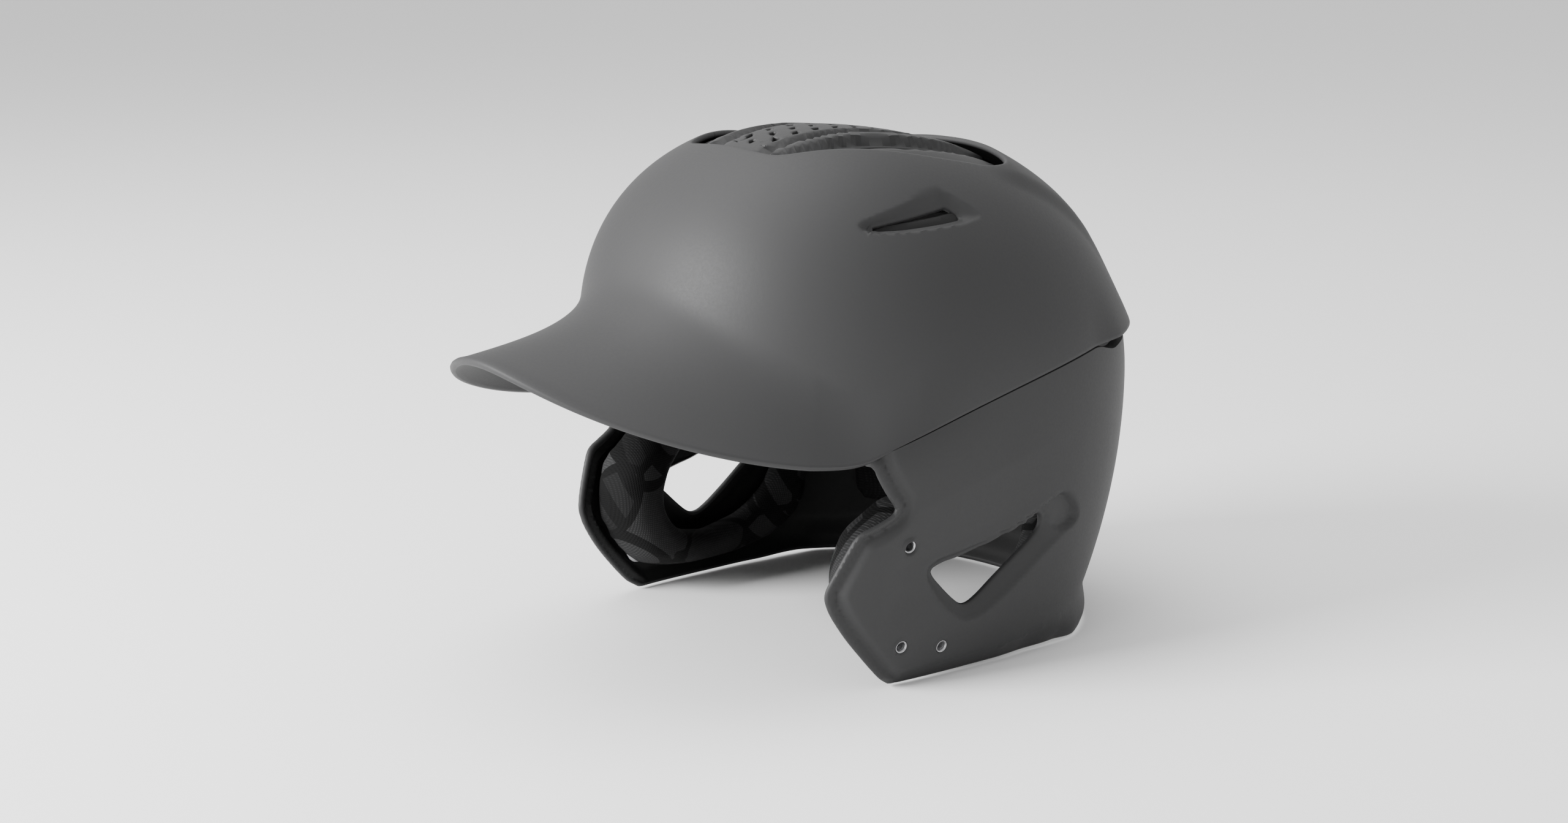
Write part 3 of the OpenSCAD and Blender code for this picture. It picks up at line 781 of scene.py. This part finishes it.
finish_piece(build_upper_shell(), SHELL_PLASTIC, "upper_shell", slot="upper_shell",
             inside_shade=INNER_SHADE_PLASTIC)
finish_piece(build_lower_shell(), LOWER_PLASTIC, "lower_shell", slot="lower_shell",
             inside_shade=INNER_SHADE_PLASTIC)


# ---- threaded inserts ----
def lathe(profile, segments=48):
    """Points and faces of a closed profile of (radius, height) turned about Z."""
    n = len(profile)
    angles = np.arange(segments) * 2 * np.pi / segments
    r, h = np.array(profile, float).T
    points = np.stack([np.outer(np.cos(angles), r), np.outer(np.sin(angles), r),
                       np.tile(h, (segments, 1))], -1).reshape(-1, 3)
    faces = [(i * n + j, ((i + 1) % segments) * n + j, ((i + 1) % segments) * n + (j + 1) % n,
              i * n + (j + 1) % n) for i in range(segments) for j in range(n)]
    return points, faces


def insert_profile():
    """A flanged insert with a countersunk mouth and cut threads down its bore."""
    top, bottom, pitch = 0.2, -4.5, 0.7
    outline = [(3.05, bottom + 0.3), (3.05, -3.9), (6.4, -3.85), (6.5, -3.6), (6.5, -3.1),
               (6.3, -2.95), (2.55, -2.9), (2.55, top - 0.2), (2.48, top - 0.05), (2.35, top),
               (2.2, top - 0.08), (2.0, top - 0.35)]
    z = top - 0.45
    while z - pitch > bottom + 0.2:
        outline += [(1.75, z - pitch * 0.35), (1.75, z - pitch * 0.45), (2.05, z - pitch * 0.9),
                    (2.05, z - pitch)]
        z -= pitch
    return outline + [(1.8, bottom), (2.8, bottom)]


def place_on_side(points, y, z, mirror, sunk):
    normal = side_normal(np.float64(y), np.float64(z))
    at = side_pt(y, z, sunk)
    turn = Vector((0, 0, 1)).rotation_difference(Vector(normal)).to_matrix()
    out = points @ np.array(turn).T + at
    return out * [-1, 1, 1] if mirror else out


for side, mirror in (("left", False), ("right", True)):
    all_points, all_faces, count = [], [], 0
    for hy, hz in GUARD_HOLES:
        points, faces = lathe(insert_profile())
        sunk = float(flap_relief(side_pt(hy, hz, 0.0)[None])[0])
        all_points.append(place_on_side(points, hy, hz, mirror, sunk))
        all_faces += [tuple(v + count for v in (reversed(f) if mirror else f)) for f in faces]
        count += len(points)
    inserts = make_mesh(side + "_threaded_inserts", np.concatenate(all_points), all_faces)
    finish_piece(inserts, STEEL, side + "_guard_inserts", slot="insert_steel")

# ---- padding ----
def puffed(obj, voxel=0.005, pressure=4.0, cap=0.002):
    """Lets a pad swell like stuffed cloth, by no more than the cap, and smooths it."""
    scene = bpy.context.scene
    view = bpy.context.view_layer
    bpy.ops.object.select_all(action="DESELECT")
    view.objects.active = obj
    obj.select_set(True)
    remesh = obj.modifiers.new("even", "REMESH")
    remesh.mode = "VOXEL"
    remesh.voxel_size = voxel
    bpy.ops.object.modifier_apply(modifier="even")
    start = np.array([v.co for v in obj.data.vertices])
    cloth = obj.modifiers.new("stuffing", "CLOTH")
    cloth.settings.quality = 3
    cloth.settings.mass = 0.15
    cloth.settings.tension_stiffness = 12
    cloth.settings.compression_stiffness = 12
    cloth.settings.bending_stiffness = 0.8
    cloth.settings.use_pressure = True
    cloth.settings.uniform_pressure_force = pressure
    cloth.settings.effector_weights.gravity = 0
    cloth.point_cache.frame_start, cloth.point_cache.frame_end = 1, 20
    for step in range(1, 21):
        scene.frame_set(step)
    bpy.ops.object.modifier_apply(modifier="stuffing")
    scene.frame_set(1)
    after = np.array([v.co for v in obj.data.vertices])
    move = after - start
    far = np.linalg.norm(move, axis=1, keepdims=True) + 1e-12
    after = start + move * np.minimum(1, cap / far)
    obj.data.vertices.foreach_set("co", after.reshape(-1))
    smooth = obj.modifiers.new("calm", "SMOOTH")
    smooth.factor = 0.6
    smooth.iterations = 3
    bpy.ops.object.modifier_apply(modifier="calm")
    fine = obj.modifiers.new("fine", "SUBSURF")
    fine.levels = fine.render_levels = 1
    bpy.ops.object.modifier_apply(modifier="fine")
    obj.data.polygons.foreach_set("use_smooth", [True] * len(obj.data.polygons))
    return obj


PAD_ROWS = np.array([(0.02, 0), (0.4, 0), (0.75, 0), (0.95, 0.03), (1, 0.15), (1, 0.45),
                     (0.97, 0.68), (0.88, 0.88), (0.7, 0.97), (0.35, 1), (0.02, 1)])


def squircle(t):
    return (np.sign(np.cos(t)) * np.abs(np.cos(t)) ** 0.5,
            np.sign(np.sin(t)) * np.abs(np.sin(t)) ** 0.5)


def pad_mesh(name, spot, cols=64):
    """A pillow from spot(u, v, share of the thickness), with u and v on a unit square."""
    t = -np.arange(cols) * 2 * np.pi / cols
    u, v = squircle(t)
    points = np.concatenate([spot(u * a, v * a, np.full(cols, h)) for a, h in PAD_ROWS])
    m = len(PAD_ROWS)
    faces = [(j * cols + i, (j + 1) * cols + i, (j + 1) * cols + (i + 1) % cols,
              j * cols + (i + 1) % cols) for j in range(m - 1) for i in range(cols)]
    faces += [tuple(range(cols)), tuple((m - 1) * cols + i for i in reversed(range(cols)))]
    return make_mesh(name, points, faces)


def wall_spot(mid, half, back, thick):
    return lambda u, v, h: inset_pt(mid[0] + half[0] * u, mid[1] + half[1] * v,
                                    back + thick * h)


def top_spot(mid, half, back, thick):
    def spot(u, v, h):
        x, y, inset = mid[0] + half[0] * u, mid[1] + half[1] * v, back + thick * h
        w, high = CROWN_W / 2 - inset, CROWN_H - inset
        l = np.where(y > 0, REAR_L, FRONT_L) - inset
        out = ((np.abs(x) / w) ** ROUND_N + (np.abs(y) / l) ** ROUND_N) ** (DOME_N / ROUND_N)
        z = CROWN_Z + high * np.maximum(1 - out, 0) ** (1 / DOME_N) - TILT * y
        return np.stack([x, y, z], -1)
    return spot


def mirrored(spot):
    return lambda u, v, h: spot(u, -v, h) * [-1, 1, 1]


SIDE_PAD = wall_spot((88, 143), (25, 14), CROWN_BACK, LINER_T)
CROWN_PAD = top_spot((38, 2), (13, 46), CROWN_BACK, LINER_T)
NAPE_PAD = wall_spot((146, 42), (15, 14), FLAP_BACK, LINER_T - 2)
LINER = [("brow_pad", wall_spot((0, 141), (40, 11), CROWN_BACK, LINER_T),
          ("brow_pad_foam", "brow_pad_cover")),
         ("rear_pad", wall_spot((180, 92), (33, 17), FLAP_BACK + 0.8, LINER_T),
          ("rear_pad_foam", "rear_pad_cover")),
         ("left_side_cushion", SIDE_PAD, ("left_side_pad",)),
         ("right_side_cushion", mirrored(SIDE_PAD), ("right_side_pad",)),
         ("left_crown_cushion", CROWN_PAD, ("left_crown_pad",)),
         ("right_crown_cushion", mirrored(CROWN_PAD), ("right_crown_pad",)),
         ("left_nape_cushion", NAPE_PAD, ("left_nape_pad",)),
         ("right_nape_cushion", mirrored(NAPE_PAD), ("right_nape_pad",))]
for name, spot, nodes in LINER:
    cushion = puffed(pad_mesh(name, spot))
    finish_piece(cushion, LINER_FABRIC, *nodes, slot="liner_fabric")


# ---- ear pads ----
EAR_ROWS = np.array([(0, 0.1), (0.06, 0), (0.5, 0), (0.94, 0), (1, 0.1), (1, 0.5), (0.94, 0.8),
                     (0.75, 0.98), (0.5, 1), (0.25, 0.98), (0.06, 0.8), (0, 0.5)])


def ear_sections(cols=120):
    t = np.arange(cols) * 2 * np.pi / cols
    c, s = np.cos(t), np.sin(t)
    # the outer edge follows the flap's front edge, a little inside it, and is oval elsewhere
    reach = np.arange(20, 75, 0.25)
    y, z = -16 + reach[None] * c[:, None], 41 + reach[None] * s[:, None]
    oval = (np.abs(y + 16) / 61) ** 2.5 + (np.abs(z - 41) / 35) ** 2.5 < 1
    room = (outline_distance(y, z, FACE_ROUND) > 4.2) & oval
    last = np.array([reach[row].max() for row in room])
    last = (2 * last + np.roll(last, 1) + np.roll(last, -1)) / 4
    outer = np.stack([-16 + last * c, 41 + last * s], -1)
    tip = math.radians(12)
    inner = np.stack([-10 + 37 * c * math.cos(tip) - 21.5 * s * math.sin(tip),
                      43 + 37 * c * math.sin(tip) + 21.5 * s * math.cos(tip)], -1)
    share = EAR_ROWS[:, 0][None, :, None]
    p = mix(inner[:, None, :], outer[:, None, :], share)
    full = EAR_PAD_T * mix(0.62, 1, ease((-10 - p[..., 0]) / 45))
    inset = FLAP_BACK + 0.8 + full * EAR_ROWS[:, 1][None, :]
    return side_pt(p[..., 0], p[..., 1], inset)


def ear_pad(name, mirror):
    sections = ear_sections()
    m, n = sections.shape[:2]
    if mirror:
        sections = sections * [-1, 1, 1]
    faces = [(j * n + i, ((j + 1) % m) * n + i, ((j + 1) % m) * n + (i + 1) % n,
              j * n + (i + 1) % n) for j in range(m) for i in range(n)]
    if mirror:
        faces = [tuple(reversed(f)) for f in faces]
    return make_mesh(name, sections.reshape(-1, 3), faces)


for side, mirror in (("left", False), ("right", True)):
    pad = puffed(ear_pad(side + "_ear_pad", mirror), voxel=0.0045)
    finish_piece(pad, EAR_FABRIC, side + "_ear_pad_foam", side + "_ear_pad_cover",
                 slot="ear_pad_fabric")

# ---- CAD nodes that stay ----
for node, material in (("shell_screws", STEEL), ("left_ear_pad_tabs", PILE),
                       ("right_ear_pad_tabs", PILE), ("liner_tabs", PILE)):
    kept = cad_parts[node]
    kept.data.materials.clear()
    kept.data.materials.append(material)

# ---- floor, light and camera ----
FLOOR_HALF = 14.0
floor = bpy.data.objects.new("floor", bpy.data.meshes.new("floor"))
floor.data.from_pydata([(x * FLOOR_HALF, y * FLOOR_HALF, -0.0005)
                        for x, y in ((-1, -1), (1, -1), (1, 1), (-1, 1))], [], [(0, 1, 2, 3)])
bpy.context.scene.collection.objects.link(floor)
pale, _, _, floor_bsdf = node_tree("pale_floor")
floor_bsdf.inputs["Base Color"].default_value = (0.86, 0.86, 0.86, 1)
floor_bsdf.inputs["Roughness"].default_value = 0.9
floor.data.materials.append(pale)

world = bpy.data.worlds.new("studio")
world.use_nodes = True
world.node_tree.nodes["Background"].inputs["Color"].default_value = (0.93, 0.93, 0.93, 1)
world.node_tree.nodes["Background"].inputs["Strength"].default_value = 1.1
bpy.context.scene.world = world


def soft_box(name, place_at, size, power):
    data = bpy.data.lights.new(name, "AREA")
    data.shape = "RECTANGLE"
    data.size, data.size_y = size
    data.energy = power
    lamp = bpy.data.objects.new(name, data)
    lamp.location = place_at
    aim = Vector((0, 0, 0.1)) - Vector(place_at)
    lamp.rotation_euler = aim.to_track_quat("-Z", "Y").to_euler()
    bpy.context.scene.collection.objects.link(lamp)


soft_box("front_key", (-0.45, -1.5, 0.75), (0.8, 0.8), 85)
soft_box("top_fill", (-0.5, -0.2, 1.9), (1.6, 1.6), 30)

AZIMUTH, ELEVATION = math.radians(51.2), math.radians(12.7)
DISTANCE, LENS = 1.0, 55.139             # metres; millimetres on a 36 mm sensor
back_dir = Vector((math.sin(AZIMUTH) * math.cos(ELEVATION),
                   -math.cos(AZIMUTH) * math.cos(ELEVATION), math.sin(ELEVATION)))
right_dir = Vector((math.cos(AZIMUTH), math.sin(AZIMUTH), 0))
up_dir = back_dir.cross(right_dir)
target = Vector((0, (CROWN_Y - 2) * MM, 0.103)) - 0.0258 * right_dir - 0.0154 * up_dir
camera_data = bpy.data.cameras.new("camera")
camera_data.lens = LENS
camera = bpy.data.objects.new("camera", camera_data)
turn = Matrix((right_dir, up_dir, back_dir)).transposed().to_4x4()
camera.matrix_world = Matrix.Translation(target + DISTANCE * back_dir) @ turn
bpy.context.scene.collection.objects.link(camera)
bpy.context.scene.camera = camera
